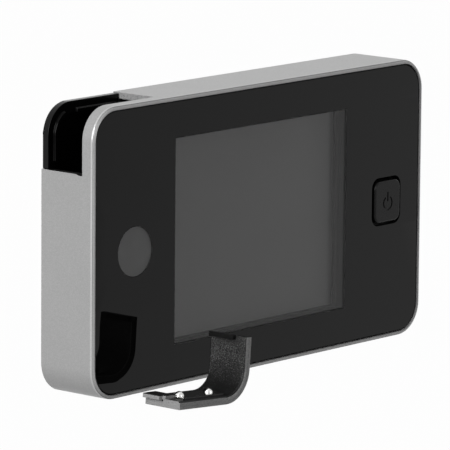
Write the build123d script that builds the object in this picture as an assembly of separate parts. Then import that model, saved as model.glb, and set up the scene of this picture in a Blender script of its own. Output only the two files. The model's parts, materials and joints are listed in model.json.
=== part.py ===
from build123d import *
import os
import math

# Indoor monitor of a peephole door camera, with its battery cover taken off and lying in front of it.
# Frame: millimetres, +X to the right seen from the front, +Y towards the door, +Z up.
# The origin is the centre of the flat back face that meets the door side. The front faces -Y.

# Two round cells, not part of the object, that the compartment is made for
cell_radius = 5.25
cell_length = 44.5
cell_pitch = 10.6
cell_gap = 0.2
cell_front_gap = 0.15
cell_top_drop = 3.2
contact_room = 4.0
lead_bay = 18.5

# Body
body_depth = 16.9
corner_radius = 8.0
wall = 2.0
rim_width = 0.98
rim_edge_radius = 0.95
rim_line_inset = 0.17
rim_line_width = 0.09
rim_line_reach = 0.5
overrun = 1.0

# Front panel stack, from the rim inwards
panel_recess = 0.4
panel_thickness = 0.8
panel_gap = 0.25
print_thickness = 0.1
tape_thickness = 1.15
web_thickness = 1.2
print_border = 0.2
tape_border = 1.0

# Display
window_width = 64.3
window_top_margin = 10.35
lcd_view_margin = 1.25
lcd_left_border = 2.0
lcd_right_border = 8.9
lcd_edge_border = 2.25
lcd_depth_behind_panel = 4.6
lcd_thickness = 3.1
lcd_sheet = 0.3
lcd_glass_thickness = 1.2
lcd_fit = 0.15
collar_clearance = 0.5
collar_wall = 1.2
gasket_thickness = 0.8
tape_window_margin = 1.2

# Power button
button_lcd_distance = 6.25
button_z = 0.0
button_cap_width = 10.0
button_cap_height = 10.6
button_cap_radius = 2.0
button_edge_radius = 0.45
button_proud = 0.55
button_hole_width = 11.5
button_hole_height = 12.4
button_hole_radius = 2.6
button_guide_gap = 0.3
flange_overhang = 1.2
flange_thickness = 0.7
flange_gap = 0.1
icon_radius = 1.68
icon_stroke = 0.45
icon_depth = 0.2
icon_bar_length = 2.4
icon_gap_angle = 62
icon_drop = 0.5

# Badge place, left bare
badge_radius = 6.05
badge_window_distance = 14.63
badge_z = -0.6

# Corner notch that the battery cover fills
notch_margin = 0.7
notch_height = 16.0
notch_front_band = 3.7
pry_length = 2.0
pry_depth = 0.3

# Rear cover
rear_plate = 1.3
rear_fit = 0.1
rear_rim_inset = 0.25
rear_rim_round = 0.45
rear_rim_depth = 2.0
upstand_inset = 2.15
upstand_wall = 1.0
upstand_height = 1.3
upstand_foot_gap = 1.8
upstand_break_start = 5.8
upstand_break_length = 4.2
upstand_break_depth = 2.0
upstand_end_gap = 1.2
recess_width = 54.0
recess_height = 44.0
recess_depth = 2.5
recess_radius = 3.0
recess_rib = 6.0
hook_slot_width = 3.5
hook_slot_length = 8.0
hook_slot_spacing = 30.0
ribbon_window_width = 20.0
ribbon_window_height = 5.4
ribbon_window_radius = 1.0
ribbon_window_x = 13.0
ribbon_window_z = -7.2
cell_rest_height = 1.0
cell_rest_width = 1.2

# Battery tray
tray_wall = 1.0
tray_rear_gap = 0.2
tray_side_gap = 0.3
tray_lcd_gap = 1.3
tray_left_top_gap = 0.6
tray_right_top_gap = 1.6

# Contacts at the foot of the tray
contact_sheet = 0.3
contact_base_width = 7.6
contact_base_depth = 7.0
contact_strip_width = 4.6
contact_rise = 3.8
contact_bend = 0.8
contact_lean = 1.2
tail_width = 1.6
tail_length = 2.2

# Screws and bosses
boss_radius = 2.2
rear_boss_inset = 5.4
main_boss_inset = 5.4
screw_shank_radius = 1.0
screw_head_radius = 1.9
screw_round_share = 0.33
screw_drive_share = 0.33
screw_head_height = 1.1
screw_bite = 6.0
thread_clearance = 0.02
screw_recess_radius = 0.75
screw_recess_depth = 0.55
rear_boss_gap = 0.1
small_boss_radius = 1.8
small_shank_radius = 0.8
small_head_radius = 1.5
small_head_height = 0.8
small_bite = 2.2

# Main board
board_thickness = 1.0
board_left_gap = 0.7
board_lcd_setback = 1.3
board_edge_gap = 1.0
board_corner_radius = 1.0
board_boss_left_inset = 5.0
board_boss_right_inset = 3.4

# Parts on the main board
processor_size = 12.0
processor_height = 1.2
processor_x = 13.0
processor_z = 13.0
memory_width = 8.0
memory_length = 10.5
memory_height = 1.0
memory_board_inset = 19.6
memory_z = 13.0
inductor_size = 4.2
inductor_corner = 1.05
inductor_height = 1.9
inductor_pitch = 6.0
inductor_board_inset = 9.6
inductor_z = -14.5
inductor_count = 3
capacitor_width = 0.9
capacitor_length = 1.7
capacitor_height = 0.8
capacitor_pitch = 2.6
capacitor_columns = 6
capacitor_rows = 2
capacitor_x = 6.5
capacitor_z = 1.0
socket_width = 14.0
socket_height = 4.0
socket_thickness = 1.8
socket_mouth_width = 11.0
socket_mouth_thickness = 0.9
socket_mouth_depth = 2.6
socket_gap = 1.2

# Ribbons, connectors and leads
ribbon_thickness = 0.15
lcd_ribbon_width = 20.0
lcd_ribbon_bend = 1.1
lcd_ribbon_reach = 1.8
lcd_ribbon_rise = 0.8
connector_width = 5.0
connector_thickness = 1.6
connector_side_margin = 1.5
lcd_connector_setback = 3.0
button_ribbon_width = 3.2
button_ribbon_z = -18.0
button_ribbon_bend = 0.9
button_connector_setback = 2.4
button_connector_width = 3.4
lead_radius = 0.5
lead_bend = 1.8
lead_drop = 4.4
lead_step = 2.4
lead_clear = 1.0
header_width = 3.0
header_height = 5.6
header_thickness = 2.0

# Button board
button_board_thickness = 1.0
button_board_setback = 3.05
button_board_left_gap = 1.3
button_board_width = 12.4
button_board_top = 12.6
button_board_bottom = -20.6
button_boss_offset = 9.6
switch_size = 4.6
switch_height = 1.4
plunger_radius = 1.08
plunger_clearance = 0.07
plunger_length = 1.15
plunger_bore_depth = 1.05

# Battery cover and where it lies
cover_fit = 0.15
cover_rear_fit = 0.15
cover_end_gap = 0.6
cover_foot_gap = 0.25
cover_rabbet_depth = 0.4
cover_skin = 0.9
cover_line_inset = 0.6
cover_line_width = 0.14
cover_line_depth = 0.15
cover_floor_x = -32.82
cover_floor_y = -40.37
cover_tilt = 4.2
cover_inner_round = 0.4
hook_block_length = 3.4
hook_block_depth = 6.2
hook_block_height = 0.85
hook_reach = 1.2
hook_depth = 5.3
hook_lip = 1.15
hook_pocket_gap = 0.15
hook_dimple_radius = 0.35
hook_dimple_depth = 0.5
end_groove_place = 5.6
end_groove_width = 1.0
end_groove_depth = 0.8
end_groove_length = 1.2
tongue_thickness = 1.2
tongue_reach = 0.3
tongue_root = 0.6
tongue_length = 7.6
bridge_left_margin = 1.35
bridge_right_margin = 2.0
bridge_width = 5.8
bridge_sheet = 0.3
bridge_seat_gap = 0.05
bump_radius = 1.25
bump_height = 0.75
rail_height = 0.5
rail_thickness = 0.7
rail_gap = 0.2

# Overall size, from what the body holds
cells_width = 2 * cell_radius + cell_pitch + 2 * cell_gap
tray_zone = wall + tray_side_gap + 2 * tray_wall + cells_width
window_side_margin = tray_zone + tray_lcd_gap + lcd_left_border + lcd_view_margin
body_width = window_width + 2 * window_side_margin
body_height = cell_top_drop + cell_length + contact_room + tray_wall + lead_bay
window_height = body_height - 2 * window_top_margin
lcd_view_width = window_width + 2 * lcd_view_margin
lcd_view_height = window_height

# Planes across the depth, all along Y
front_y = -body_depth
panel_front = front_y + panel_recess
panel_back = panel_front + panel_thickness
print_back = panel_back + print_thickness
web_front = print_back + tape_thickness
web_back = web_front + web_thickness
lcd_front = panel_back + lcd_depth_behind_panel
lcd_back = lcd_front + lcd_thickness
collar_back = lcd_front - gasket_thickness
board_front = lcd_back
board_back = board_front + board_thickness
notch_front = front_y + notch_front_band
rear_inner = -rear_plate
recess_floor_back = -recess_depth
recess_floor_front = recess_floor_back - rear_plate
button_front = panel_front - button_proud
flange_front = web_back + flange_gap
flange_back = flange_front + flange_thickness
button_board_front = web_back + button_board_setback
button_board_back = button_board_front + button_board_thickness

# Places across the face, in X and Z
inner_left = -body_width / 2 + wall
inner_top = body_height / 2 - wall
lcd_left = -lcd_view_width / 2 - lcd_left_border
lcd_right = lcd_view_width / 2 + lcd_right_border
lcd_half_height = lcd_view_height / 2 + lcd_edge_border
collar_half_width = lcd_view_width / 2 + collar_clearance
collar_half_height = lcd_view_height / 2 + collar_clearance
button_x = lcd_right + button_lcd_distance
badge_x = -window_width / 2 - badge_window_distance
cell_y = web_back + cell_front_gap + cell_radius
cell_top = body_height / 2 - cell_top_drop
cell_bottom = cell_top - cell_length
tray_inner_left = inner_left + tray_side_gap + tray_wall
tray_inner_right = tray_inner_left + cells_width
tray_inner_bottom = cell_bottom - contact_room
left_cell_x = tray_inner_left + cell_gap + cell_radius
right_cell_x = left_cell_x + cell_pitch
notch_right = tray_inner_right + notch_margin
notch_low = body_height / 2 - notch_height
board_left = tray_inner_right + tray_wall + 2 * boss_radius + board_left_gap
board_right_x = lcd_right - board_lcd_setback
board_boss_left_x = board_left + board_boss_left_inset
inductor_x = board_left + inductor_board_inset
memory_x = board_left + memory_board_inset
board_boss_right_x = board_right_x - board_boss_right_inset
board_half_height = inner_top - board_edge_gap
main_boss_z = body_height / 2 - main_boss_inset
rear_boss_x = body_width / 2 - rear_boss_inset
rear_boss_z = body_height / 2 - rear_boss_inset - rim_width / 2
near_tray_boss_x = tray_inner_right + tray_wall + boss_radius


def slab(width, height, radius, y_front, y_back, x=0, z=0):
    """Plate with rounded corners that lies across Y."""
    base = Plane(origin=(x, y_back, z), x_dir=(1, 0, 0), z_dir=(0, -1, 0))
    return extrude(base * RectangleRounded(width, height, radius), amount=y_back - y_front)


def sharp_slab(width, height, y_front, y_back, x=0, z=0):
    """Plate with square corners that lies across Y."""
    base = Plane(origin=(x, y_back, z), x_dir=(1, 0, 0), z_dir=(0, -1, 0))
    return extrude(base * Rectangle(width, height), amount=y_back - y_front)


def block(x_low, x_high, y_low, y_high, z_low, z_high):
    """Box between two corners."""
    centre = Pos((x_low + x_high) / 2, (y_low + y_high) / 2, (z_low + z_high) / 2)
    return centre * Box(x_high - x_low, y_high - y_low, z_high - z_low)


def rod(x, z, y_front, y_back, radius):
    """Round bar along Y."""
    base = Plane(origin=(x, y_back, z), x_dir=(1, 0, 0), z_dir=(0, -1, 0))
    return extrude(base * Circle(radius), amount=y_back - y_front)


def outline_slab(inset, y_front, y_back):
    """The body's own outline, drawn in by an inset."""
    return slab(body_width - 2 * inset, body_height - 2 * inset, corner_radius - inset, y_front, y_back)


def corner_band(inset_outer, inset_inner, y_front, y_back, x_right, z_low):
    """Strip along the upper left corner of the body outline, between two insets."""
    ring = outline_slab(inset_outer, y_front, y_back) - outline_slab(inset_inner, y_front - overrun,
                                                                     y_back + overrun)
    reach = body_width + body_height
    zone = block(-reach, x_right, y_front - overrun, y_back + overrun, z_low, reach)
    return ring & zone


def round_front(solid, y, radius):
    """Round the outer edges of the face at a given Y."""
    edges = [e for e in solid.edges() if abs(e.bounding_box().min.Y - y) < radius / 10
             and abs(e.bounding_box().max.Y - y) < radius / 10]
    return fillet(edges, radius)


def strip_xy(points, bend, thickness, z_low, z_high):
    """Flat strip bent in the XY plane, extruded along Z."""
    path = FilletPolyline(*points, radius=bend)
    face = trace(path, line_width=thickness)
    return Pos(0, 0, z_low) * extrude(face, amount=z_high - z_low)


def boss_places():
    """Rear cover screws: three corners and one beside the battery tray."""
    return [
        (rear_boss_x, rear_boss_z),
        (rear_boss_x, -rear_boss_z),
        (-rear_boss_x, -rear_boss_z),
        (near_tray_boss_x, main_boss_z),
    ]


def board_places():
    """Main board screws."""
    return [(x, z) for x in (board_boss_left_x, board_boss_right_x) for z in (-main_boss_z, main_boss_z)]


def button_board_places():
    """Button board screws, above and below the switch."""
    return [(button_x, button_z + side * button_boss_offset) for side in (-1, 1)]


def housing_frame():
    """Silver housing: side band, front rim, web behind the panel, window collar and bosses."""
    shell = round_front(outline_slab(0, front_y, 0), front_y, rim_edge_radius)
    shell -= outline_slab(rim_width, front_y - overrun, web_front)
    shell -= outline_slab(wall, web_back, overrun)
    line = outline_slab(rim_line_inset, front_y - overrun, front_y + rim_line_reach)
    line -= outline_slab(rim_line_inset + rim_line_width, front_y - 2 * overrun, front_y + 2 * rim_line_reach)
    shell -= line
    shell += slab(2 * (collar_half_width + collar_wall), 2 * (collar_half_height + collar_wall),
                  collar_wall, web_back, collar_back)
    for x, z in boss_places():
        shell += rod(x, z, web_back, rear_inner - rear_boss_gap, boss_radius)
    for x, z in board_places():
        shell += rod(x, z, web_back, board_front, boss_radius)
    for x, z in button_board_places():
        shell += rod(x, z, web_back, button_board_front, small_boss_radius)
    shell -= sharp_slab(2 * collar_half_width, 2 * collar_half_height, web_front - overrun,
                        collar_back + overrun)
    shell -= slab(button_cap_width + 2 * button_guide_gap, button_cap_height + 2 * button_guide_gap,
                  button_cap_radius + button_guide_gap, web_front - overrun, web_back + overrun, button_x,
                  button_z)
    for x, z in boss_places():
        shell -= rod(x, z, rear_inner - rear_boss_gap - screw_bite - overrun, overrun,
                     screw_shank_radius + thread_clearance)
    for x, z in board_places():
        shell -= rod(x, z, board_front - screw_bite, board_front + overrun,
                     screw_shank_radius + thread_clearance)
    for x, z in button_board_places():
        shell -= rod(x, z, button_board_front - small_bite, button_board_front + overrun,
                     small_shank_radius + thread_clearance)
    left = -body_width / 2 - overrun
    top = body_height / 2 + overrun
    shell -= block(left, notch_right, notch_front, overrun, notch_low, top)
    pry = Plane.YZ.offset(left) * Polygon(
        (notch_front, notch_low + overrun), (notch_front, notch_low - pry_depth),
        (notch_front + pry_length / 2, notch_low - pry_depth), (notch_front + pry_length, notch_low),
        (notch_front + pry_length, notch_low + overrun), align=None)
    shell -= extrude(pry, amount=overrun + wall)
    pocket_back = -rear_rim_depth - cover_rear_fit + hook_pocket_gap
    return shell - block(notch_right - overrun, notch_right + hook_reach,
                         pocket_back - hook_depth - 2 * hook_pocket_gap,
                         pocket_back, inner_top - tongue_reach,
                         inner_top - hook_block_height + hook_lip + hook_pocket_gap)


def front_panel():
    """Acrylic window with the button hole."""
    panel = outline_slab(rim_width + panel_gap, panel_front, panel_back)
    return panel - slab(button_hole_width, button_hole_height, button_hole_radius,
                        panel_front - overrun, panel_back + overrun, button_x, button_z)


def panel_print():
    """Black mask behind the acrylic, open at the display, the badge place and the button."""
    mask = outline_slab(rim_width + panel_gap + print_border, panel_back, print_back)
    mask -= sharp_slab(window_width, window_height, panel_back - overrun, print_back + overrun)
    mask -= rod(badge_x, badge_z, panel_back - overrun, print_back + overrun, badge_radius)
    return mask - slab(button_hole_width + 2 * print_border, button_hole_height + 2 * print_border,
                       button_hole_radius + print_border, panel_back - overrun, print_back + overrun,
                       button_x, button_z)


def badge_disc():
    """Plain disc that fills the hole in the mask."""
    return rod(badge_x, badge_z, panel_back, print_back, badge_radius)


def panel_adhesive():
    """Tape frame between the mask and the web."""
    tape = outline_slab(rim_width + panel_gap + tape_border, print_back, web_front)
    tape -= sharp_slab(2 * (collar_half_width + tape_window_margin / 2),
                       2 * (collar_half_height + tape_window_margin / 2), print_back - overrun,
                       web_front + overrun)
    return tape - slab(button_hole_width + 2 * tape_border, button_hole_height + 2 * tape_border,
                       button_hole_radius + tape_border, print_back - overrun, web_front + overrun,
                       button_x, button_z)


def display_gasket():
    """Foam ring between the window collar and the display."""
    ring = slab(2 * (collar_half_width + collar_wall), 2 * (collar_half_height + collar_wall),
                collar_wall,
                collar_back, lcd_front)
    return ring - sharp_slab(2 * collar_half_width, 2 * collar_half_height, collar_back - overrun,
                             lcd_front + overrun)


def lcd_bezel():
    """Steel can of the display, open at the back, with a slot for the flex."""
    can = block(lcd_left, lcd_right, lcd_front, lcd_back, -lcd_half_height, lcd_half_height)
    can -= block(lcd_left + lcd_sheet, lcd_right - lcd_sheet, lcd_front + lcd_sheet, lcd_back + overrun,
                 -lcd_half_height + lcd_sheet, lcd_half_height - lcd_sheet)
    can -= sharp_slab(lcd_view_width, lcd_view_height, lcd_front - overrun,
                      lcd_front + lcd_sheet + overrun)
    flex_mid = lcd_back - lcd_ribbon_rise
    return can - block(lcd_right - lcd_sheet - lcd_fit, lcd_right + overrun, flex_mid - lcd_sheet,
                       flex_mid + lcd_sheet, -lcd_ribbon_width / 2 - lcd_fit,
                       lcd_ribbon_width / 2 + lcd_fit)


def lcd_glass():
    """Display glass behind the bezel's opening."""
    edge = lcd_sheet + lcd_fit
    front = lcd_front + lcd_sheet
    return block(lcd_left + edge, lcd_right - edge, front, front + lcd_glass_thickness,
                 -lcd_half_height + edge, lcd_half_height - edge)


def lcd_backlight():
    """Light guide and white frame behind the glass."""
    edge = lcd_sheet + lcd_fit
    front = lcd_front + lcd_sheet + lcd_glass_thickness
    return block(lcd_left + edge, lcd_right - edge, front, lcd_back,
                 -lcd_half_height + edge, lcd_half_height - edge)


def lcd_ribbon():
    """Flex that turns round the edge of the main board."""
    start = lcd_right - lcd_sheet - lcd_fit
    front = lcd_back - lcd_ribbon_rise
    back = board_back + connector_thickness / 2
    turn = lcd_right + lcd_ribbon_reach
    end = board_right_x - lcd_connector_setback
    points = [(start, front), (turn, front), (turn, back), (end, back)]
    return strip_xy(points, lcd_ribbon_bend, ribbon_thickness, -lcd_ribbon_width / 2,
                    lcd_ribbon_width / 2)


def lcd_connector():
    """Socket of the display flex."""
    right = board_right_x - lcd_connector_setback
    reach = lcd_ribbon_width / 2 + connector_side_margin
    return block(right - connector_width, right, board_back, board_back + connector_thickness, -reach,
                 reach)


def main_board():
    """Main circuit board with its four screw holes."""
    middle = (board_left + board_right_x) / 2
    board = slab(board_right_x - board_left, 2 * board_half_height, board_corner_radius,
                 board_front, board_back, middle, 0)
    for x, z in board_places():
        board -= rod(x, z, board_front - overrun, board_back + overrun, screw_shank_radius + rear_fit)
    return board


def pan_screw(x, z, seat, shank_radius, head_radius, head_height, bite):
    """Pan head screw along Y: the head sits behind the seat, the shank runs forwards."""
    screw = rod(x, z, seat, seat + head_height, head_radius)
    screw = round_front(screw, seat + head_height, head_height * screw_round_share)
    screw += rod(x, z, seat - bite, seat + overrun / 2, shank_radius)
    drive = rod(x, z, seat + head_height - head_height / 2, seat + head_height + overrun,
                head_radius * screw_drive_share)
    return screw - drive


def main_board_screws():
    return [pan_screw(x, z, board_back, screw_shank_radius, screw_head_radius, screw_head_height,
                      screw_bite)
            for x, z in board_places()]


def button_board_screws():
    return [pan_screw(x, z, button_board_back, small_shank_radius, small_head_radius, small_head_height,
                      small_bite + button_board_thickness / 2) for x, z in button_board_places()]


def rear_cover_screws():
    """Countersunk screws, flush with the rear cover, with a cross recess."""
    screws = []
    for x, z in boss_places():
        base = Plane(origin=(x, 0, z), x_dir=(1, 0, 0), z_dir=(0, -1, 0))
        cone_height = screw_head_radius - screw_shank_radius
        profile = base * Circle(screw_head_radius)
        tip = base.offset(cone_height) * Circle(screw_shank_radius)
        screw = loft([profile, tip])
        screw += rod(x, z, rear_inner - screw_bite, -cone_height / 2, screw_shank_radius)
        arm = screw_recess_radius / 3
        for width, height in ((screw_recess_radius, arm), (arm, screw_recess_radius)):
            screw -= block(x - width, x + width, -screw_recess_depth, overrun, z - height, z + height)
        screws.append(screw)
    return screws


def main_processor():
    half = processor_size / 2
    return block(processor_x - half, processor_x + half, board_back, board_back + processor_height,
                 processor_z - half, processor_z + half)


def memory_chip():
    return block(memory_x - memory_width / 2, memory_x + memory_width / 2, board_back,
                 board_back + memory_height,
                 memory_z - memory_length / 2, memory_z + memory_length / 2)


def power_inductors():
    """Row of shielded coils with chamfered corners."""
    coils = []
    for index in range(inductor_count):
        coils.append(slab(inductor_size, inductor_size, inductor_corner, board_back,
                          board_back + inductor_height,
                          inductor_x + index * inductor_pitch, inductor_z))
    return coils


def board_capacitors():
    """Two rows of small capacitors beside the processor."""
    chips = []
    for row in range(capacitor_rows):
        for column in range(capacitor_columns):
            x = capacitor_x + column * capacitor_pitch
            z = capacitor_z + row * capacitor_pitch
            chips.append(block(x, x + capacitor_width, board_back, board_back + capacitor_height,
                               z, z + capacitor_length))
    return chips


def camera_socket():
    """Socket below the ribbon window, its mouth facing the window."""
    top = ribbon_window_z - ribbon_window_height / 2 - socket_gap
    half = socket_width / 2
    body = block(ribbon_window_x - half, ribbon_window_x + half, board_back,
                 board_back + socket_thickness,
                 top - socket_height, top)
    middle = board_back + socket_thickness / 2
    mouth = socket_mouth_width / 2
    return body - block(ribbon_window_x - mouth, ribbon_window_x + mouth,
                        middle - socket_mouth_thickness / 2,
                        middle + socket_mouth_thickness / 2, top - socket_mouth_depth, top + overrun)


def button_board():
    left = lcd_right + button_board_left_gap
    board = block(left, left + button_board_width, button_board_front, button_board_back,
                  button_board_bottom, button_board_top)
    for x, z in button_board_places():
        board -= rod(x, z, button_board_front - overrun, button_board_back + overrun,
                     small_shank_radius + rear_fit)
    return board


def button_ribbon():
    """Flex from the back of the button board to the main board."""
    start = button_x - small_boss_radius
    back = board_back + connector_thickness / 2
    end = board_right_x - button_connector_setback
    points = [(start, button_board_back), (start, back), (end, back)]
    low = button_ribbon_z - button_ribbon_width / 2
    return strip_xy(points, button_ribbon_bend, ribbon_thickness, low, low + button_ribbon_width)


def button_connector():
    right = board_right_x - button_connector_setback
    reach = button_ribbon_width / 2 + connector_side_margin / 2
    return block(right - button_connector_width, right, board_back, board_back + connector_thickness,
                 button_ribbon_z - reach, button_ribbon_z + reach)


def switch_body():
    """Tact switch with the bore of its plunger."""
    top = button_board_front - switch_height
    half = switch_size / 2
    body = block(button_x - half, button_x + half, top, button_board_front, button_z - half,
                 button_z + half)
    return body - rod(button_x, button_z, top - overrun, top + plunger_bore_depth,
                      plunger_radius + plunger_clearance)


def switch_plunger():
    """Round plunger that the cap pushes."""
    return rod(button_x, button_z, flange_back, flange_back + plunger_length, plunger_radius)


def power_sign(y_face):
    """Ring with a gap at the top and a bar, cut into the cap."""
    base = Plane(origin=(button_x, y_face + icon_depth, button_z - icon_drop), x_dir=(1, 0, 0),
                 z_dir=(0, -1, 0))
    ring = Circle(icon_radius + icon_stroke / 2) - Circle(icon_radius - icon_stroke / 2)
    reach = 2 * icon_radius
    half_angle = math.radians(icon_gap_angle / 2)
    ring -= Polygon((0, 0), (reach * math.sin(half_angle), reach * math.cos(half_angle)),
                    (-reach * math.sin(half_angle), reach * math.cos(half_angle)), align=None)
    bar = Pos(0, icon_radius) * Rectangle(icon_stroke, icon_bar_length)
    return extrude(base * (ring + bar), amount=icon_depth + overrun)


def power_button():
    """Cap with rounded edges, a flange behind the web and the engraved sign."""
    cap = slab(button_cap_width, button_cap_height, button_cap_radius, button_front, flange_front,
               button_x, button_z)
    cap = round_front(cap, button_front, button_edge_radius)
    cap += slab(button_cap_width + 2 * flange_overhang, button_cap_height + 2 * flange_overhang,
                button_cap_radius, flange_front, flange_back, button_x, button_z)
    return cap - power_sign(button_front)


def battery_tray():
    """Side and foot walls of the compartment, which stands open at the notch."""
    back = rear_inner - tray_rear_gap
    low = tray_inner_bottom - tray_wall
    right = block(tray_inner_right, tray_inner_right + tray_wall, web_back, back, low,
                  inner_top - tray_right_top_gap)
    left_top = notch_low - tray_left_top_gap
    left = block(tray_inner_left - tray_wall, tray_inner_left, web_back, back, low, left_top)
    floor = block(tray_inner_left - tray_wall, tray_inner_right + tray_wall, web_back, back, low,
                  tray_inner_bottom)
    tray = right + left + floor
    for x in (left_cell_x, right_cell_x):
        tray -= block(x - tail_width / 2 - rear_fit, x + tail_width / 2 + rear_fit,
                      cell_y - contact_sheet / 2 - rear_fit, cell_y + contact_sheet / 2 + rear_fit,
                      low - overrun, tray_inner_bottom + overrun)
    return tray


def contact(x, points, bends):
    """Base plate on the tray floor, a bent spring strip and a solder tail through the floor."""
    floor = tray_inner_bottom
    base = block(x - contact_base_width / 2, x + contact_base_width / 2, cell_y - contact_base_depth / 2,
                 cell_y + contact_base_depth / 2, floor, floor + contact_sheet)
    path = FilletPolyline(*points, radius=bends)
    strip = extrude(Plane.XZ * trace(path, line_width=contact_sheet), amount=contact_strip_width / 2,
                    both=True)
    tail_low = floor - tray_wall - tail_length
    tail = block(x - tail_width / 2, x + tail_width / 2, cell_y - contact_sheet / 2,
                 cell_y + contact_sheet / 2,
                 tail_low, floor + contact_sheet)
    return base + Pos(x, cell_y, floor) * strip + tail


def negative_contact():
    """Tall leaf that a cell's flat end presses down."""
    half = contact_base_width / 2 - contact_bend
    mid = contact_sheet / 2
    top = contact_rise
    points = [(-half / 2, mid), (half, mid), (half, top / 2), (-half, top), (-half, top - contact_lean)]
    return contact(left_cell_x, points, contact_bend / 2)


def positive_contact():
    """Lower leaf that meets the raised end of a cell."""
    half = contact_base_width / 2 - contact_bend
    mid = contact_sheet / 2
    top = contact_rise - contact_lean / 2
    points = [(half / 2, mid), (-half, mid), (-half, top / 2), (0, top), (half, top / 2)]
    return contact(right_cell_x, points, contact_bend / 2)


def lead_path(x, drop):
    """Route of one lead: down from the tail, then across to the header on the board."""
    start = tray_inner_bottom - tray_wall - tail_length
    plane_y = board_back + header_thickness / 2
    end = board_left + lead_clear
    low = start - drop
    points = [(x, cell_y, start), (x, cell_y, low + lead_bend + lead_clear), (x, plane_y, low),
              (end, plane_y, low)]
    return points


def battery_leads():
    """Two insulated leads from the contact tails to the header."""
    leads = []
    for x, drop in ((left_cell_x, lead_drop + lead_step), (right_cell_x, lead_drop)):
        points = lead_path(x, drop)
        path = FilletPolyline(*points, radius=lead_bend)
        start = Plane(origin=path @ 0, z_dir=path % 0)
        leads.append(sweep(start * Circle(lead_radius), path=path))
    return leads


def battery_header():
    """Small header on the main board where the leads end."""
    low = tray_inner_bottom - tray_wall - tail_length - lead_drop - lead_step - header_height / 4
    left = board_left + lead_clear
    return block(left, left + header_width, board_back, board_back + header_thickness, low,
                 low + header_height)


def rear_cover():
    """Back shell: plate inside the band, corner rim at the notch, upstand, two bracket pockets."""
    plate = outline_slab(wall + rear_fit, rear_inner, 0)
    rim = round_front(outline_slab(rear_rim_inset, -rear_rim_depth, 0), 0, rear_rim_round)
    rim -= outline_slab(upstand_inset + upstand_wall, -rear_rim_depth - overrun, rear_inner)
    reach = body_width + body_height
    rim &= block(-reach, notch_right - rear_fit, -rear_rim_depth, 0, notch_low + rear_fit, reach)
    cover = plate + rim
    band_low = notch_low + upstand_foot_gap
    band = corner_band(upstand_inset, upstand_inset + upstand_wall, rear_inner - upstand_height,
                       rear_inner,
                       notch_right - upstand_end_gap, band_low)
    break_left = -body_width / 2 + upstand_break_start
    band -= block(break_left, break_left + upstand_break_length, rear_inner - upstand_height - overrun,
                  rear_inner,
                  inner_top - upstand_break_depth, reach)
    cover += band
    cover += slab(recess_width + 2 * rear_plate, recess_height + 2 * rear_plate,
                  recess_radius + rear_plate,
                  recess_floor_front, rear_inner)
    pocket_height = (recess_height - recess_rib) / 2
    for side in (-1, 1):
        cover -= slab(recess_width, pocket_height, recess_radius, recess_floor_back, overrun,
                      0, side * (recess_rib + pocket_height) / 2)
        cover -= slab(hook_slot_width, hook_slot_length, hook_slot_width / 2 - thread_clearance,
                      recess_floor_front - overrun, recess_floor_back + overrun, 0,
                      side * hook_slot_spacing / 2)
    cover -= slab(ribbon_window_width, ribbon_window_height, ribbon_window_radius,
                  recess_floor_front - overrun, recess_floor_back + overrun, ribbon_window_x,
                  ribbon_window_z)
    span = tray_inner_right - tray_inner_left - 2 * cell_gap
    for z in (cell_bottom + cell_radius, cell_bottom + cell_length / 2):
        cover += block(tray_inner_left + cell_gap, tray_inner_left + cell_gap + span,
                       rear_inner - cell_rest_height, rear_inner, z, z + cell_rest_width)
    for x, z in boss_places():
        base = Plane(origin=(x, 0, z), x_dir=(1, 0, 0), z_dir=(0, -1, 0))
        clear = screw_shank_radius + rear_fit
        head = screw_head_radius + thread_clearance
        cover -= rod(x, z, rear_inner - overrun, overrun, clear)
        cover -= loft([base * Circle(head), base.offset(head - clear) * Circle(clear)])
    return cover


def fitted_cover():
    """The battery cover in the place where it closes the notch."""
    front = notch_front + cover_fit
    back = -rear_rim_depth - cover_rear_fit
    right = notch_right - cover_end_gap
    low = notch_low + cover_foot_gap
    top = inner_top
    cover = corner_band(0, wall, front, back, right, low)
    cover -= corner_band(cover_skin, wall + overrun, front - overrun, front + cover_rabbet_depth,
                         right + overrun, low - overrun)
    inner_edge = [e for e in cover.edges().filter_by(Axis.X) if abs(e.center().Z - top) < rear_fit
                  and abs(e.center().Y - front - cover_rabbet_depth) < rear_fit]
    cover = fillet(inner_edge, cover_inner_round)
    line_end = cover_line_inset + cover_line_width
    cover -= corner_band(cover_line_inset, line_end, front - overrun, front + cover_line_depth,
                         right + overrun, low - overrun)
    cover += block(right - hook_block_length, right, back - hook_block_depth, back,
                   top - hook_block_height, top)
    lip_low = top - hook_block_height
    cover += block(right - hook_block_length, right + hook_reach, back - hook_depth, back, lip_low,
                   lip_low + hook_lip)
    dimple = Plane(origin=(right + hook_reach - hook_dimple_depth, back - hook_depth / 2,
                           lip_low + hook_lip / 2),
                   z_dir=(1, 0, 0))
    cover -= extrude(dimple * Circle(hook_dimple_radius), amount=overrun)
    groove_y = front + end_groove_place
    groove = Plane.YZ.offset(right - end_groove_length) * Polygon(
        (groove_y - end_groove_width / 2, top - tongue_reach),
        (groove_y + end_groove_width / 2, top - tongue_reach),
        (groove_y, top + end_groove_depth), align=None)
    cover -= extrude(groove, amount=end_groove_length + overrun)
    cover += block(inner_left, inner_left + tongue_thickness, back - tongue_length, back,
                   low - tongue_reach, low + tongue_root)
    rail_front = cell_y - bridge_width / 2 - rail_gap - rail_thickness
    cover += block(left_cell_x - bridge_left_margin, right_cell_x + bridge_right_margin,
                   rail_front, rail_front + rail_thickness, top - rail_height, top)
    return cover


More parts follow.
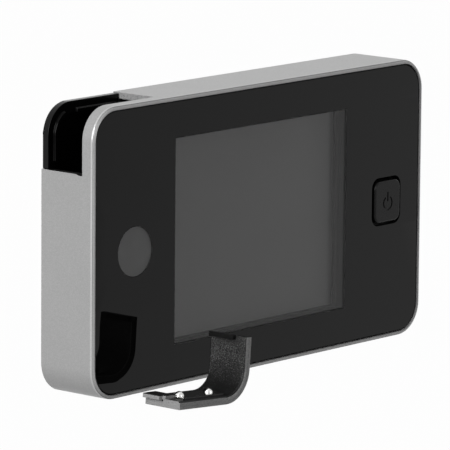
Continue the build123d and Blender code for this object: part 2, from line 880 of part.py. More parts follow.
def fitted_bridge():
    """Plated strip that joins the two cells, with a bump for each."""
    top = inner_top - bridge_seat_gap
    low = top - bridge_sheet
    strip = block(left_cell_x - bridge_left_margin, right_cell_x + bridge_right_margin,
                  cell_y - bridge_width / 2, cell_y + bridge_width / 2, low, top)
    ball = (bump_radius ** 2 + bump_height ** 2) / (2 * bump_height)
    for x in (left_cell_x, right_cell_x):
        dome = Pos(x, cell_y, low + ball - bump_height) * Sphere(ball)
        strip += dome & block(x - ball, x + ball, cell_y - ball, cell_y + ball, low - bump_height, low)
    return strip


def lay_down(piece):
    """Turn a piece of the fitted cover over and lay it, a little tilted, in front of the monitor."""
    tilt = math.radians(cover_tilt)
    turned = Pos(-body_width / 2, -notch_front - cover_fit, body_height / 2) * Rot(0, 180, 0) * piece
    drop = corner_radius * (1 - math.sin(tilt) - math.cos(tilt))
    return Pos(cover_floor_x, cover_floor_y, drop - body_height / 2) * Rot(0, cover_tilt, 0) * turned


def battery_cover():
    return lay_down(fitted_cover())


def cover_contact_bridge():
    return lay_down(fitted_bridge())


nodes = {
    "housing_frame": housing_frame,
    "front_panel": front_panel,
    "panel_print": panel_print,
    "badge_disc": badge_disc,
    "panel_adhesive": panel_adhesive,
    "display_gasket": display_gasket,
    "lcd_bezel": lcd_bezel,
    "lcd_glass": lcd_glass,
    "lcd_backlight": lcd_backlight,
    "lcd_ribbon": lcd_ribbon,
    "lcd_connector": lcd_connector,
    "main_board": main_board,
    "main_board_screws": main_board_screws,
    "main_processor": main_processor,
    "memory_chip": memory_chip,
    "power_inductors": power_inductors,
    "board_capacitors": board_capacitors,
    "camera_socket": camera_socket,
    "button_board": button_board,
    "button_board_screws": button_board_screws,
    "button_ribbon": button_ribbon,
    "button_connector": button_connector,
    "switch_body": switch_body,
    "switch_plunger": switch_plunger,
    "power_button": power_button,
    "battery_tray": battery_tray,
    "negative_contact": negative_contact,
    "positive_contact": positive_contact,
    "battery_leads": battery_leads,
    "battery_header": battery_header,
    "rear_cover": rear_cover,
    "rear_cover_screws": rear_cover_screws,
    "battery_cover": battery_cover,
    "cover_contact_bridge": cover_contact_bridge,
}

os.makedirs("parts", exist_ok=True)
for name, make in nodes.items():
    made = make()
    solids = made if isinstance(made, list) else [made]
    bodies = [solid for piece in solids for solid in piece.solids()]
    export_step(bodies[0] if len(bodies) == 1 else Compound(children=bodies), f"parts/{name}.step")
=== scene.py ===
import json
import math
import bmesh
import bpy
from mathutils import Matrix, Vector


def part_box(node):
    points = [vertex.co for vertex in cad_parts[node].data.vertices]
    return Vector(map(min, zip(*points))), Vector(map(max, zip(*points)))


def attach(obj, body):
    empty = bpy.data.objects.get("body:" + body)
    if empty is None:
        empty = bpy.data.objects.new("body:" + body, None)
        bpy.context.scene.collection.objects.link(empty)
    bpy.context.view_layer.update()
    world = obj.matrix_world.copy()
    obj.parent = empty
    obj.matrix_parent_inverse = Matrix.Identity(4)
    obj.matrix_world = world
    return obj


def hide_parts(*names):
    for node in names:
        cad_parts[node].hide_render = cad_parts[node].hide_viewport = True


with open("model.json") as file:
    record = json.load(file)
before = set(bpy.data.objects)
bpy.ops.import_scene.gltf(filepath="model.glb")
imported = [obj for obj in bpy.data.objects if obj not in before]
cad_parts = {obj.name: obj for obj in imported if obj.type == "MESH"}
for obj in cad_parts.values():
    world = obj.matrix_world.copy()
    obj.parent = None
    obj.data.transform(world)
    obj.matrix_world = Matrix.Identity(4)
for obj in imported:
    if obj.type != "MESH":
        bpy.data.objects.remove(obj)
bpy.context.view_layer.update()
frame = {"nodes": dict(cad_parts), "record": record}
scene = bpy.context.scene
nodes = frame["nodes"]
MM = 0.001

# Most noise values lie in this band, so the shaders spread their tones over it
noise_band = (0.3, 0.7)


def grey(tone):
    return (tone, tone, tone)


def material(name, colour, roughness, metallic=0.0, specular=0.5):
    """A new Principled material with its plain numbers set on the shader itself."""
    made = bpy.data.materials.new(name)
    made.use_nodes = True
    shader = made.node_tree.nodes["Principled BSDF"]
    shader.inputs["Base Color"].default_value = (*colour, 1.0)
    shader.inputs["Roughness"].default_value = roughness
    shader.inputs["Metallic"].default_value = metallic
    shader.inputs["Specular IOR Level"].default_value = specular
    return made, made.node_tree, shader


def add(tree, kind, **values):
    """A node of that kind; values whose names are inputs go to the inputs, others to the node."""
    node = tree.nodes.new(kind)
    for key, value in values.items():
        label = key.replace("_", " ")
        if label in node.inputs:
            node.inputs[label].default_value = value
        else:
            setattr(node, key, value)
    return node


def place(tree):
    """The piece's own coordinates."""
    return add(tree, "ShaderNodeTexCoord").outputs["Object"]


def noise(tree, vector, scale, detail=2.0, rough=0.5):
    """Cloudy noise, 0 to 1."""
    node = add(tree, "ShaderNodeTexNoise", Scale=scale, Detail=detail, Roughness=rough)
    tree.links.new(vector, node.inputs["Vector"])
    return node.outputs["Fac"]


def cells(tree, vector, scale):
    """A tone of its own for each small cell."""
    node = add(tree, "ShaderNodeTexVoronoi", Scale=scale)
    tree.links.new(vector, node.inputs["Vector"])
    return node.outputs["Color"]


def ramp(tree, value, *stops):
    """Colour ramp through (place, colour) stops."""
    node = add(tree, "ShaderNodeValToRGB")
    bar = node.color_ramp.elements
    while len(bar) < len(stops):
        bar.new(0.5)
    for stop, (where, colour) in zip(bar, stops):
        stop.position = where
        stop.color = (*colour, 1.0)
    tree.links.new(value, node.inputs["Fac"])
    return node.outputs["Color"]


def between(tree, value, low, high, source=noise_band):
    """The value, taken from the source range to the range low to high."""
    node = add(tree, "ShaderNodeMapRange")
    node.inputs["From Min"].default_value = source[0]
    node.inputs["From Max"].default_value = source[1]
    node.inputs["To Min"].default_value = low
    node.inputs["To Max"].default_value = high
    tree.links.new(value, node.inputs["Value"])
    return node.outputs["Result"]


def bump(tree, height, strength, distance):
    """Fine relief of the surface; distance in metres."""
    node = add(tree, "ShaderNodeBump", Strength=strength, Distance=distance)
    tree.links.new(height, node.inputs["Height"])
    return node.outputs["Normal"]


def shade(colour, factor):
    """The colour, made lighter or darker."""
    return tuple(min(1.0, channel * factor) for channel in colour)


def moulded(name, colour, roughness, spread=0.12, grain=2200.0, depth=0.00002, strength=0.25,
            specular=0.5):
    """Moulded, printed or cast surface: slow colour patches, a fine grain and uneven gloss."""
    patches = 90.0
    rough_spread = 0.06
    made, tree, shader = material(name, colour, roughness, specular=specular)
    here = place(tree)
    slow = noise(tree, here, patches, 3.0)
    fine = noise(tree, here, grain, 2.0, 0.6)
    low, high = noise_band
    tone = ramp(tree, slow, (low, shade(colour, 1.0 - spread)), (high, shade(colour, 1.0 + spread)))
    tree.links.new(tone, shader.inputs["Base Color"])
    gloss = between(tree, fine, roughness - rough_spread, roughness + rough_spread)
    tree.links.new(gloss, shader.inputs["Roughness"])
    tree.links.new(bump(tree, fine, strength, depth), shader.inputs["Normal"])
    return made


def math_of(tree, operation, first, second):
    """Links two values into a maths node."""
    node = add(tree, "ShaderNodeMath", operation=operation)
    tree.links.new(first, node.inputs[0])
    tree.links.new(second, node.inputs[1])
    return node.outputs[0]


def multiplied(tree, first, second, share):
    """The first colour, multiplied by the second for that share."""
    node = add(tree, "ShaderNodeMix", data_type="RGBA", blend_type="MULTIPLY")
    node.inputs[0].default_value = share
    tree.links.new(first, node.inputs[6])
    tree.links.new(second, node.inputs[7])
    return node.outputs[2]


# Grains of the silver paint to the metre
silver_grain = 3800.0


def silver_paint(name="silver_paint", cover=None, tone_share=1.0, painted_shade_heights=None):
    """Fine grained silver spray paint, or where cover is given, its thin overspray on black plastic.

    Cover is the share of the plastic that the overspray hides and tone_share how light it stays.
    Below the second of the two given heights the overspray thins out, so that the cover's foot and inner
    corner turn darker: painted shade.
    """
    low, high = noise_band
    made, tree, shader = material(name, grey(0.42), 0.36, 0.18, 0.25)
    shader.inputs["Coat Weight"].default_value = 0.1
    shader.inputs["Coat Roughness"].default_value = 0.2
    here = place(tree)
    flake = cells(tree, here, 6500.0)
    slow = noise(tree, here, 60.0, 3.0)
    grain = noise(tree, here, silver_grain, 3.0, 0.7)
    tone = ramp(tree, flake, (0.0, grey(0.37)), (0.5, grey(0.42)), (1.0, grey(0.48)))
    paint = multiplied(tree, tone, ramp(tree, slow, (low, grey(0.93)), (high, grey(1.0))), 0.5)
    if cover is not None:
        dots = noise(tree, here, 4200.0, 3.0, 0.7)
        drift = noise(tree, here, 150.0, 2.0)
        sway = 0.025
        total = math_of(tree, "ADD", dots, between(tree, drift, -sway, sway))
        # Painted shade: below the given heights the overspray thins towards the cover's foot and inner
        # corner
        if painted_shade_heights is not None:
            height = add(tree, "ShaderNodeSeparateXYZ")
            tree.links.new(here, height.inputs[0])
            drop = between(tree, height.outputs["Z"], -0.14, 0.0, painted_shade_heights)
            total = math_of(tree, "ADD", total, drop)
        spread = 0.16
        edge = 0.5 + (0.5 - cover) * 2.0 * spread
        mask = between(tree, total, 0.0, 1.0, (edge - spread, edge + spread))
        lay = add(tree, "ShaderNodeMix", data_type="RGBA")
        tree.links.new(mask, lay.inputs[0])
        lay.inputs[6].default_value = (*grey(0.008), 1.0)
        thin = add(tree, "ShaderNodeMix", data_type="RGBA", blend_type="MULTIPLY")
        thin.inputs[0].default_value = 1.0
        tree.links.new(paint, thin.inputs[6])
        thin.inputs[7].default_value = (*grey(tone_share), 1.0)
        tree.links.new(thin.outputs[2], lay.inputs[7])
        paint = lay.outputs[2]
        shader.inputs["Metallic"].default_value = 0.0
        shader.inputs["Specular IOR Level"].default_value = 0.2
        shader.inputs["Coat Weight"].default_value = 0.0
    tree.links.new(paint, shader.inputs["Base Color"])
    tree.links.new(between(tree, grain, 0.3, 0.4), shader.inputs["Roughness"])
    tree.links.new(bump(tree, grain, 0.25, 0.00002), shader.inputs["Normal"])
    return made


def silver_painted_highlight():
    """Painted highlight on the rim's outer edge: lighter, glossier silver where the round starts to turn to
    the front.
    """
    low, high = noise_band
    made, tree, shader = material("silver_painted_highlight", grey(0.52), 0.3, 0.35, 0.4)
    grain = noise(tree, place(tree), silver_grain, 3.0, 0.7)
    tone = ramp(tree, grain, (low, grey(0.5)), (high, grey(0.55)))
    tree.links.new(tone, shader.inputs["Base Color"])
    tree.links.new(between(tree, grain, 0.26, 0.34), shader.inputs["Roughness"])
    tree.links.new(bump(tree, grain, 0.15, 0.00001), shader.inputs["Normal"])
    return made


def any_ray(tree, *kinds):
    """1 for rays of any of these kinds, 0 for the rest."""
    path = add(tree, "ShaderNodeLightPath")
    total = path.outputs[kinds[0]]
    for kind in kinds[1:]:
        total = math_of(tree, "MAXIMUM", total, path.outputs[kind])
    return total


def acrylic(name, tone, darkest, lightest):
    """Gloss plastic sheet with faint wipe marks in its gloss and tone."""
    low, high = noise_band
    made, tree, shader = material(name, grey(tone), 0.0)
    shader.inputs["IOR"].default_value = 1.49
    shader.inputs["Specular Tint"].default_value = (*grey(0.05), 1.0)
    wipe = noise(tree, place(tree), 35.0, 4.0)
    tree.links.new(between(tree, wipe, 0.0, 0.012), shader.inputs["Roughness"])
    marks = ramp(tree, wipe, (low, grey(darkest)), (high, grey(lightest)))
    tree.links.new(marks, shader.inputs["Base Color"])
    return made, tree, shader


def dark_acrylic():
    """Clear cast sheet with a light smoke tint that lets the light of the lamps through."""
    made, tree, shader = acrylic("dark_acrylic", 0.9, 0.88, 0.9)
    shader.inputs["Transmission Weight"].default_value = 1.0
    through = add(tree, "ShaderNodeBsdfTransparent")
    through.inputs["Color"].default_value = (*grey(0.9), 1.0)
    blend = add(tree, "ShaderNodeMixShader")
    tree.links.new(any_ray(tree, "Is Shadow Ray", "Is Diffuse Ray"), blend.inputs[0])
    tree.links.new(shader.outputs[0], blend.inputs[1])
    tree.links.new(through.outputs[0], blend.inputs[2])
    tree.links.new(blend.outputs[0], tree.nodes["Material Output"].inputs["Surface"])
    return made


def masked_acrylic():
    """The same sheet where black print backs it: gloss black."""
    return acrylic("masked_acrylic", 0.003, 0.0025, 0.0035)[0]


def metal(name, colour, roughness, scale=(40.0, 3000.0, 40.0)):
    """Rolled or plated metal: long scratches and slow stains."""
    low, high = noise_band
    made, tree, shader = material(name, colour, roughness, 1.0, 0.5)
    here = place(tree)
    stretch = add(tree, "ShaderNodeMapping")
    stretch.inputs["Scale"].default_value = scale
    tree.links.new(here, stretch.inputs["Vector"])
    streak = noise(tree, stretch.outputs["Vector"], 1.0, 3.0)
    stain = noise(tree, here, 120.0, 3.0)
    tone = ramp(tree, stain, (low, shade(colour, 0.86)), (high, colour))
    tree.links.new(tone, shader.inputs["Base Color"])
    tree.links.new(between(tree, streak, roughness * 0.7, roughness * 1.4), shader.inputs["Roughness"])
    tree.links.new(bump(tree, streak, 0.1, 0.00001), shader.inputs["Normal"])
    return made


def board():
    """Solder mask over copper tracks."""
    mask, over_copper = (0.02, 0.14, 0.05), (0.03, 0.2, 0.07)
    made, tree, shader = material("board_green", mask, 0.3)
    here = place(tree)
    brick = add(tree, "ShaderNodeTexBrick", Scale=420.0, Mortar_Size=0.09)
    tree.links.new(here, brick.inputs["Vector"])
    tone = ramp(tree, brick.outputs["Fac"], (0.2, mask), (0.8, over_copper))
    tree.links.new(tone, shader.inputs["Base Color"])
    tree.links.new(bump(tree, brick.outputs["Fac"], 0.3, 0.00002), shader.inputs["Normal"])
    return made


finishes = {
    "silver_paint": silver_paint(),
    "dark_acrylic": dark_acrylic(),
    "silver_painted_highlight": silver_painted_highlight(),
    "silver_edge": silver_paint("silver_edge", cover=0.92, tone_share=0.9),
    # Overspray inside the cover, darker towards its foot and inner corner as painted shade
    "silver_mist": silver_paint("silver_mist", cover=0.02, tone_share=0.8, painted_shade_heights=(-0.0335, -0.026)),
    "black_print": moulded("black_print", grey(0.003), 0.6, spread=0.1, grain=4000.0, depth=0.000004,
                           strength=0.1, specular=0.0),
    "badge_grey": moulded("badge_grey", grey(0.22), 0.6, spread=0.1, grain=2600.0, depth=0.00001,
                          strength=0.2, specular=0.0),
    "tape": moulded("tape", grey(0.02), 0.7),
    "foam": moulded("foam", grey(0.018), 0.9, spread=0.3, grain=1400.0, depth=0.0001, strength=0.6),
    "display_steel": moulded("display_steel", grey(0.03), 0.5, spread=0.05, specular=0.05),
    "display_glass": moulded("display_glass", grey(0.2), 0.4, spread=0.03, grain=6000.0,
                             depth=0.000002, strength=0.05, specular=0.1),
    "light_guide": moulded("light_guide", grey(0.75), 0.5),
    "flex": moulded("flex", (0.45, 0.22, 0.05), 0.35),
    "connector_white": moulded("connector_white", (0.72, 0.7, 0.64), 0.45),
    "board_green": board(),
    "chip_black": moulded("chip_black", grey(0.03), 0.55),
    "ferrite": moulded("ferrite", (0.09, 0.09, 0.1), 0.6, spread=0.25),
    "ceramic_tan": moulded("ceramic_tan", (0.4, 0.29, 0.18), 0.5, spread=0.2),
    "socket_black": moulded("socket_black", (0.025, 0.025, 0.026), 0.45),
    "switch_black": moulded("switch_black", grey(0.03), 0.45),
    "plunger_white": moulded("plunger_white", (0.7, 0.7, 0.66), 0.4),
    "button_black": moulded("button_black", grey(0.005), 0.3, spread=0.1, grain=2600.0,
                            depth=0.00001, strength=0.2, specular=0.14),
    "spring_nickel": metal("spring_nickel", (0.7, 0.7, 0.69), 0.07, (400.0, 400.0, 400.0)),
    "lead_red_black": moulded("lead_red_black", (0.3, 0.02, 0.015), 0.45),
    "black_shell": moulded("black_shell", grey(0.004), 0.17, spread=0.15, grain=1500.0,
                           depth=0.00001, strength=0.3, specular=0.14),
    "masked_acrylic": masked_acrylic(),
    "black_inside": moulded("black_inside", grey(0.006), 0.5, spread=0.15, grain=1500.0, strength=0.3,
                            specular=0.1),
    "screw_steel": metal("screw_steel", (0.45, 0.45, 0.46), 0.3),
}


def finish(obj, slot, *others):
    """Gives one piece its materials, the slot's own material first and the others after it."""
    if obj.data.materials:
        obj.data.materials.clear()
    for name in (slot, *others):
        obj.data.materials.append(finishes[name])


slots = {part["node"]: part["material_slot"] for part in frame["record"]["subparts"]}
for name, obj in nodes.items():
    finish(obj, slots[name])


def piece(name, mesh, body):
    """A new object that rides on that body."""
    obj = bpy.data.objects.new(name, mesh)
    scene.collection.objects.link(obj)
    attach(obj, body)
    return obj


def level_faces(obj):
    """Large faces keep their own direction, so that only the small rounds shade as curved."""
    weigh = obj.modifiers.new("weigh", "WEIGHTED_NORMAL")
    weigh.mode = "FACE_AREA"
    weigh.weight = 90
    weigh.keep_sharp = True


def shown(name, shape, body, node, crease, slot, *others):
    """Makes an object of a finished shape in place of a CAD node; edges over crease degrees stay sharp."""
    for face in shape.faces:
        face.smooth = True
    mesh = bpy.data.meshes.new(name)
    shape.to_mesh(mesh)
    shape.free()
    mesh.set_sharp_from_angle(angle=math.radians(crease))
    obj = piece(name, mesh, body)
    level_faces(obj)
    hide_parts(node)
    finish(obj, slot, *others)


# Edges of the solids over solid_crease degrees are eased, and joints under flat_joint degrees are dissolved
solid_crease = 32.0
flat_joint = 0.5

# Points of a solid that lie within this many millimetres are merged
weld = 0.002


def eased(name, node, body, width, paint=None, extra=(), keep=None, shift=None, cuts=()):
    """A solid's shape with its edges eased by a fine round, and its faces sorted by paint(centre, normal).

    Edges for which keep(middle) is true stay sharp, shift(point) may move a point first, and each of
    the cuts (point, direction) divides the faces along a plane. All lengths are in millimetres.
    """
    solid = nodes[node]
    shape = bmesh.new()
    shape.from_mesh(solid.data)
    shape.transform(solid.matrix_world)
    bmesh.ops.remove_doubles(shape, verts=shape.verts, dist=weld * MM)
    bmesh.ops.dissolve_limit(shape, angle_limit=math.radians(flat_joint), verts=shape.verts,
                             edges=shape.edges)
    if shift is not None:
        for vert in shape.verts:
            vert.co = shift(vert.co / MM) * MM
    edges = []
    for edge in shape.edges:
        if len(edge.link_faces) != 2 or edge.calc_face_angle(0.0) <= math.radians(solid_crease):
            continue
        middle = (edge.verts[0].co + edge.verts[1].co) / (2.0 * MM)
        if keep is None or not keep(middle):
            edges.append(edge)
    bmesh.ops.bevel(shape, geom=edges, offset=width * MM, offset_type="OFFSET", segments=2, profile=0.5,
                    affect="EDGES", clamp_overlap=False)
    for point, direction in cuts:
        geom = list(shape.verts) + list(shape.edges) + list(shape.faces)
        bmesh.ops.bisect_plane(shape, geom=geom, plane_co=Vector(point) * MM,
                               plane_no=Vector(direction))
    if paint is not None:
        for face in shape.faces:
            face.material_index = paint(face.calc_center_median() / MM, face.normal)
    shown(name, shape, body, node, solid_crease, slots[node], *extra)


# Numbers of the solids that the painting below goes by, in millimetres
half_width = 62.5
half_height = 35.6
corner = 8.0
front = -16.9
rim = 0.98
wall = 2.0
button_x = 48.55

# How near counts as lying on a plane, and depths of the zones behind the front and inside the outline
near = 0.05
edge_depth = 1.0
rim_height = 1.6
outer_skin = 0.06
outline_band = 0.1

# Zone of the rim's outer edge that gets the painted highlight: depth from the outline and turn of its faces
highlight_depth = 0.17
highlight_turn = (-0.5, -0.05)

# The band's cut edge beside the notch starts this far behind the front and faces left; its darker overspray
# grey is partly painted shade of the notch
notch_step = 3.0
facing_left = -0.8

# How far the rim's inner edge on the left is moved outwards
rim_move = 0.25

# Places of the housing's materials in its list
housing_silver, housing_overspray_and_shade, housing_black, housing_painted_highlight = range(4)


def inset(at):
    """How far a point lies inside the rounded outline."""
    dx = abs(at.x) - (half_width - corner)
    dz = abs(at.z) - (half_height - corner)
    if dx > 0.0 and dz > 0.0:
        return corner - math.hypot(dx, dz)
    return corner - max(dx, dz)


def housing_paint(at, normal):
    """Silver outside with a painted highlight on the rim's outer edge, thin overspray on the cut edges
    (darker beside the notch, partly painted shade), bare black plastic inside.
    """
    depth = inset(at)
    # Faces of the rim's outer round that turn a little to the front get the painted highlight
    low, high = highlight_turn
    if at.y < front + edge_depth and depth < highlight_depth and low < normal.y < high:
        return housing_painted_highlight
    on_rim = at.y < front + rim_height and depth < rim + near
    if at.y < front + near or depth < outer_skin or on_rim:
        return housing_silver
    # The cut edge beside the notch takes the overspray grey, partly as painted shade inside the notch
    in_band = depth < wall + near and at.y > front + notch_step
    if at.y > -near or (in_band and normal.x < facing_left and at.z > 0.0):
        return housing_overspray_and_shade
    return housing_black


def rim_keeps(at):
    """The edges of the front inside the outline stay sharp."""
    return at.y < front + edge_depth and inset(at) > outline_band


def rim_left(at):
    """The rim is a little narrower on the left, as the photograph shows it."""
    if at.x < 0.0 and at.y < front + near and abs(inset(at) - rim) < outer_skin:
        return Vector((at.x - rim_move, at.y, at.z))
    return at


eased("housing_shell", "housing_frame", "monitor", 0.1, housing_paint,
      ("silver_edge", "black_inside", "silver_painted_highlight"), keep=rim_keeps, shift=rim_left)
eased("rear_shell", "rear_cover", "monitor", 0.12)

# Reach of the engraved sign from the cap's middle, and planes within the cap and the sheet
sign_reach = 3.6
cap_face = -16.0
sheet_middle = -16.0


def in_sign(at):
    """True for the engraved sign on the cap."""
    return math.hypot(at.x - button_x, at.z) < sign_reach and at.y < cap_face


eased("button_cap", "power_button", "power_button", 0.14, keep=in_sign)

# The sheet's back points lie behind sheet_back and are moved to print_bond
sheet_back = -15.8
print_bond = -15.65


def into_print(at):
    """The sheet's back reaches a hair into the print, as ink that is bonded to it."""
    return Vector((at.x, print_bond, at.z)) if at.y > sheet_back else at


# Clear parts of the sheet: one over the printed window (left, right, low, high), one round over the badge
clear_window = (-32.65, 32.4, -25.5, 25.5)
badge_middle = Vector((-47.15, 0.0, -0.52))
badge_reach = 6.1
badge_turns = [math.radians(22.5 * k) for k in range(8)]
badge_ways = [Vector((math.cos(turn), 0.0, math.sin(turn))) for turn in badge_turns]
sheet_cuts = [((x, 0.0, 0.0), (1.0, 0.0, 0.0)) for x in clear_window[:2]]
sheet_cuts += [((0.0, 0.0, z), (0.0, 0.0, 1.0)) for z in clear_window[2:]]
for way in badge_ways:
    sheet_cuts += [(badge_middle + way * reach, way) for reach in (-badge_reach, badge_reach)]

# Faces of the sheet that turn further from the front than this belong to its edges
level_enough = 0.97
button_hole_reach = 7.0

# Places of the sheet's materials in its list
sheet_clear, sheet_edge_and_gap_shade, sheet_masked = range(3)


def sheet_paint(at, normal):
    """Clear faces over the window and the badge, black where the print backs the sheet, blacked edges whose
    wide front bevel is painted shade of the gap to the rim.
    """
    # Edges and the wide front bevel turn black: partly the sheet's black edge, partly painted shade of the
    # gap
    if abs(normal.y) < level_enough:
        return sheet_edge_and_gap_shade
    left, right, low, high = clear_window
    over_window = left < at.x < right and low < at.z < high
    over_badge = max(abs((at - badge_middle).dot(way)) for way in badge_ways) < badge_reach
    return sheet_clear if over_window or over_badge or normal.y > 0.0 else sheet_masked


def sheet_keeps(at):
    """The back edges and the edges of the button hole stay sharp."""
    return at.y > sheet_middle or max(abs(at.x - button_x), abs(at.z)) < button_hole_reach


# The wide eased front edge of the sheet is painted black, as painted shade of the gap between sheet and rim
eased("panel_sheet", "front_panel", "monitor", 0.22, sheet_paint, ("black_inside", "masked_acrylic"),
      keep=sheet_keeps, shift=into_print, cuts=sheet_cuts)

# The loose cover lies tilted on its round corner; these numbers lead back to its own upright frame
tilt = math.radians(4.2)
cover_drop = corner * (1.0 - math.sin(tilt) - math.cos(tilt))
cover_place = Matrix.Translation((-32.82, -40.37, cover_drop - half_height))
cover_frame = cover_place @ Matrix.Rotation(tilt, 4, "Y")
cover_width = 10.9
cover_leg_top = 15.75
cover_foot_end = -24.9
foot_stations = (-11.0, -14.0, -17.0, -20.0)
notch_from = -23.7
notch_depth = 0.8
leg_steps = 6
corner_steps = 24

# Places of the cover's materials in its list
paint_out, paint_edge, paint_in, paint_black = range(4)

# The strip and its rail lie along the foot, from the two cells' places in the fitted cover
left_cell = 43.15
right_cell = 53.75
rail_from = -half_width + left_cell - 2.0
rail_to = -half_width + right_cell + 1.35
strip_middle = 5.2
strip_half = 2.9
strip_low = 2.05
strip_top = 2.35
strip_ease = 0.06
rail_width = 0.7
rail_gap = 0.2
rail_front = strip_middle - strip_half - rail_gap - rail_width
dome_radius = 1.25
dome_height = 1.15
dome_sink = 0.05
dome_places = (-8.75, -19.35)
dome_turns = 32
dome_rise = 10

# Blocks of the cover: low corner, high corner, width of the eased edges and paint
cover_blocks = (
    ((cover_foot_end, cover_width - 6.2, 1.7), (-21.5, cover_width, 2.85), 0.12, paint_edge),
    ((-26.1, cover_width - 5.3, 1.7), (-24.5, cover_width, 2.8), 0.15, paint_edge),
    ((-3.2, cover_width - 7.6, 14.9), (-1.8, cover_width, 16.05), 0.12, paint_black),
    ((rail_from, rail_front, 1.8), (rail_to, rail_front + rail_width, 2.5), 0.1, paint_in),
)

# The foot's block and hook are bare black on top: over bare_height, left of bare_left_of, facing up
bare_height = 2.5
bare_left_of = -21.0
bare_facing = 0.3


def cover_section(notch):
    """The wall's outline as (depth from the outer face, place across, paint of the side that follows)."""
    back = cover_width
    return [
        (0.0, back - 0.1, paint_out), (0.0, 0.1, paint_out), (0.03, 0.03, paint_edge),
        (0.1, 0.0, paint_edge), (0.75, 0.0, paint_edge), (0.75, 0.1, paint_edge),
        (0.85, 0.1, paint_edge), (0.85, 0.02, paint_edge), (1.64, 0.02, paint_edge),
        (1.7, 0.06, paint_in), (1.76, 0.4, paint_in), (1.9, 0.45, paint_in), (wall, 0.6, paint_in),
        (wall, 5.1, paint_in), (wall - notch, 5.6, paint_in), (wall, 6.1, paint_in),
        (wall, back - 0.1, paint_edge), (wall - 0.1, back, paint_edge), (0.1, back, paint_edge),
        (0.03, back - 0.03, paint_out),
    ]


def cover_stations():
    """(outer x, z, inward x, z, notch depth) down the leg, round the corner and along the foot."""
    step = (cover_leg_top - corner) / leg_steps
    path = [(0.0, cover_leg_top - step * k, -1.0, 0.0, 0.0) for k in range(leg_steps)]
    for k in range(corner_steps + 1):
        turn = math.radians(90.0) * k / corner_steps
        across, down = math.cos(turn), math.sin(turn)
        path.append((corner * across - corner, corner - corner * down, -across, down, 0.0))
    for x in (*foot_stations, notch_from):
        path.append((x, 0.0, 0.0, 1.0, 0.0))
    path.append((notch_from - 0.001, 0.0, 0.0, 1.0, notch_depth))
    path.append((cover_foot_end, 0.0, 0.0, 1.0, notch_depth))
    return path


def joined(shape, rows):
    """Skins the space between rings of points; returns each face with its place round the ring."""
    count = len(rows[0])
    made = []
    for near_row, far_row in zip(rows, rows[1:]):
        for k in range(count):
            n = (k + 1) % count
            made.append((k, shape.faces.new((near_row[k], near_row[n], far_row[n], far_row[k]))))
    return made


def swept(shape, stations, section_at):
    """Skins the outlines that section_at gives at each station, and closes both ends."""
    rows = []
    for x, z, inward_x, inward_z, notch in stations:
        rows.append([shape.verts.new((x + inward_x * depth, y, z + inward_z * depth))
                     for depth, y, _ in section_at(notch)])
    paints = [paint for _, _, paint in section_at(0.0)]
    for k, face in joined(shape, rows):
        face.material_index = paints[k]
    shape.faces.new(rows[0][::-1]).material_index = paint_black
    shape.faces.new(rows[-1]).material_index = paint_edge


def chamfered(shape, low, high, width, paint):
    """A block with eased edges, between two corners."""
    made = bmesh.ops.create_cube(shape, size=1.0)["verts"]
    middle = (Vector(low) + Vector(high)) / 2.0
    spread = Vector(high) - Vector(low)
    for vert in made:
        vert.co = Vector([middle[i] + vert.co[i] * spread[i] for i in range(3)])
    faces = {face for vert in made for face in vert.link_faces}
    edges = list({edge for face in faces for edge in face.edges})
    for face in faces:
        face.material_index = paint
    bmesh.ops.bevel(shape, geom=edges, offset=width, offset_type="OFFSET", segments=2, profile=0.5,
                    affect="EDGES", clamp_overlap=True, material=-1)


def laid_down(shape):
    """Takes a shape from the cover's own frame to its place on the ground, in metres."""
    shape.transform(cover_frame)
    shape.transform(Matrix.Scale(MM, 4))
    return shape


def cover_shape():
    """The loose cover: wall, foot block, hook, leg block and the rail beside the contact strip."""
    shape = bmesh.new()
    swept(shape, cover_stations(), cover_section)
    bmesh.ops.recalc_face_normals(shape, faces=shape.faces)
    for low, high, width, paint in cover_blocks:
        chamfered(shape, low, high, width, paint)
    for face in shape.faces:
        at = face.calc_center_median()
        on_top = at.z > bare_height and at.x < bare_left_of and face.normal.z > bare_facing
        if face.material_index == paint_edge and on_top:
            face.material_index = paint_black
    return laid_down(shape)


def dome(shape, x, y, z):
    """A closed dome with its foot a little inside the strip."""
    rows = []
    for step in range(dome_rise):
        climb = math.radians(90.0) * step / dome_rise
        wide = dome_radius * math.cos(climb)
        high = z + dome_height * math.sin(climb)
        turns = [math.tau * k / dome_turns for k in range(dome_turns)]
        rows.append([shape.verts.new((x + wide * math.cos(turn), y + wide * math.sin(turn), high))
                     for turn in turns])
    top = shape.verts.new((x, y, z + dome_height))
    joined(shape, rows)
    for k in range(dome_turns):
        shape.faces.new((rows[-1][k], rows[-1][(k + 1) % dome_turns], top))
    shape.faces.new(rows[0][::-1])


def strip_shape():
    """The plated strip in the cover: a sheet with two domes."""
    shape = bmesh.new()
    chamfered(shape, (rail_from, strip_middle - strip_half, strip_low),
              (rail_to, strip_middle + strip_half, strip_top), strip_ease, 0)
    for x in dome_places:
        dome(shape, x, strip_middle, strip_top - dome_sink)
    return laid_down(shape)


# Edges of the scene's own shapes over this many degrees stay sharp
shape_crease = 35.0
shown("cover_shell", cover_shape(), "battery_cover", "battery_cover", shape_crease, "silver_paint",
      "silver_edge", "silver_mist", "black_inside")
shown("contact_strip", strip_shape(), "battery_cover", "cover_contact_bridge", shape_crease,
      "spring_nickel")

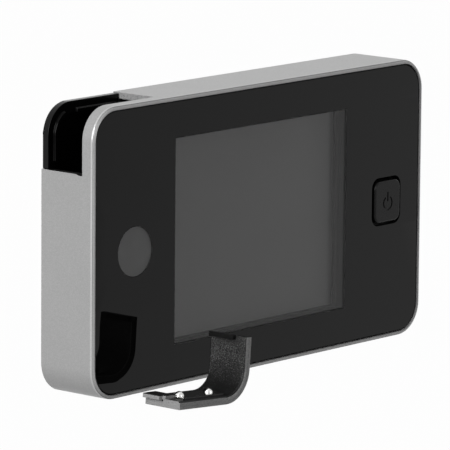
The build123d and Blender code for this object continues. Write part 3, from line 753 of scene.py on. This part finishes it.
# Camera: the photograph's place, turn and long lens
camera_at = Vector((-0.92303, -0.80032, 0.21282))
camera_to = Vector((-0.00479, -0.00843, -0.000419))
camera_roll = math.radians(0.482)
lens = bpy.data.cameras.new("camera")
lens.lens = 397.86
lens.sensor_width = 36.0
lens.clip_start = 0.01
lens.clip_end = 20.0
camera = bpy.data.objects.new("camera", lens)
scene.collection.objects.link(camera)
back = (camera_at - camera_to).normalized()
right = Vector((0.0, 0.0, 1.0)).cross(back).normalized()
up = back.cross(right)
axis_x = right * math.cos(camera_roll) + up * math.sin(camera_roll)
axis_y = up * math.cos(camera_roll) - right * math.sin(camera_roll)
turn = Matrix((axis_x, axis_y, back)).transposed().to_4x4()
camera.matrix_world = Matrix.Translation(camera_at) @ turn
scene.camera = camera

# Stage: a plain white floor, white surroundings and soft lamps
floor_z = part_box("housing_frame")[0].z
floor_reach = 4.0
floor_drop = 0.00005
floor_tone = 0.15
floor_glow_share = 0.985
sky_dim = 0.15
sky_full = 1.0
seen_rays = ("Is Camera Ray", "Is Glossy Ray", "Is Transmission Ray")
floor_mesh = bpy.data.meshes.new("floor")
corners = [(-floor_reach, -floor_reach), (floor_reach, -floor_reach), (floor_reach, floor_reach),
           (-floor_reach, floor_reach)]
floor_mesh.from_pydata([(x, y, floor_z - floor_drop) for x, y in corners], [], [(0, 1, 2, 3)])
floor = bpy.data.objects.new("floor", floor_mesh)
scene.collection.objects.link(floor)
made = bpy.data.materials.new("floor")
made.use_nodes = True
tree = made.node_tree
tree.nodes.clear()
out = add(tree, "ShaderNodeOutputMaterial")
matt = add(tree, "ShaderNodeBsdfDiffuse")
matt.inputs["Color"].default_value = (*grey(floor_tone), 1.0)
glow = add(tree, "ShaderNodeEmission", Strength=1.0)
blend = add(tree, "ShaderNodeMixShader")
amount = add(tree, "ShaderNodeMath", operation="MULTIPLY")
amount.inputs[1].default_value = floor_glow_share
tree.links.new(any_ray(tree, *seen_rays), amount.inputs[0])
tree.links.new(amount.outputs[0], blend.inputs[0])
tree.links.new(matt.outputs[0], blend.inputs[1])
tree.links.new(glow.outputs[0], blend.inputs[2])
tree.links.new(blend.outputs[0], out.inputs[0])
floor_mesh.materials.append(made)

world = bpy.data.worlds.new("world")
scene.world = world
world.use_nodes = True
tree = world.node_tree
sky = tree.nodes["Background"]
sky.inputs["Color"].default_value = (*grey(1.0), 1.0)
level = add(tree, "ShaderNodeMapRange")
level.inputs["To Min"].default_value = sky_dim
level.inputs["To Max"].default_value = sky_full
tree.links.new(any_ray(tree, *seen_rays), level.inputs["Value"])
tree.links.new(level.outputs["Result"], sky.inputs["Strength"])


def lamp(name, at, wide, high, power, to=(0.0, 0.0, 0.0)):
    """A soft box of that width and height in metres, that points at a place near the object."""
    light = bpy.data.lights.new(name, "AREA")
    light.shape = "RECTANGLE"
    light.size = wide
    light.size_y = high
    light.energy = power
    obj = bpy.data.objects.new(name, light)
    scene.collection.objects.link(obj)
    obj.location = at
    obj.rotation_euler = (Vector(to) - Vector(at)).to_track_quat("-Z", "Y").to_euler()


lamp("left_lamp", (-1.25, -0.02, 0.6), 0.35, 1.0, power=15.6, to=(0.0, -0.02, 0.5))
lamp("top_lamp", (-0.3, 0.05, 1.3), 0.9, 0.9, power=1.2)
lamp("front_lamp", (0.05, -1.4, 0.28), 0.4, 0.5, power=2.8, to=(0.05, 0.0, 0.2))
scene.view_settings.view_transform = "Standard"
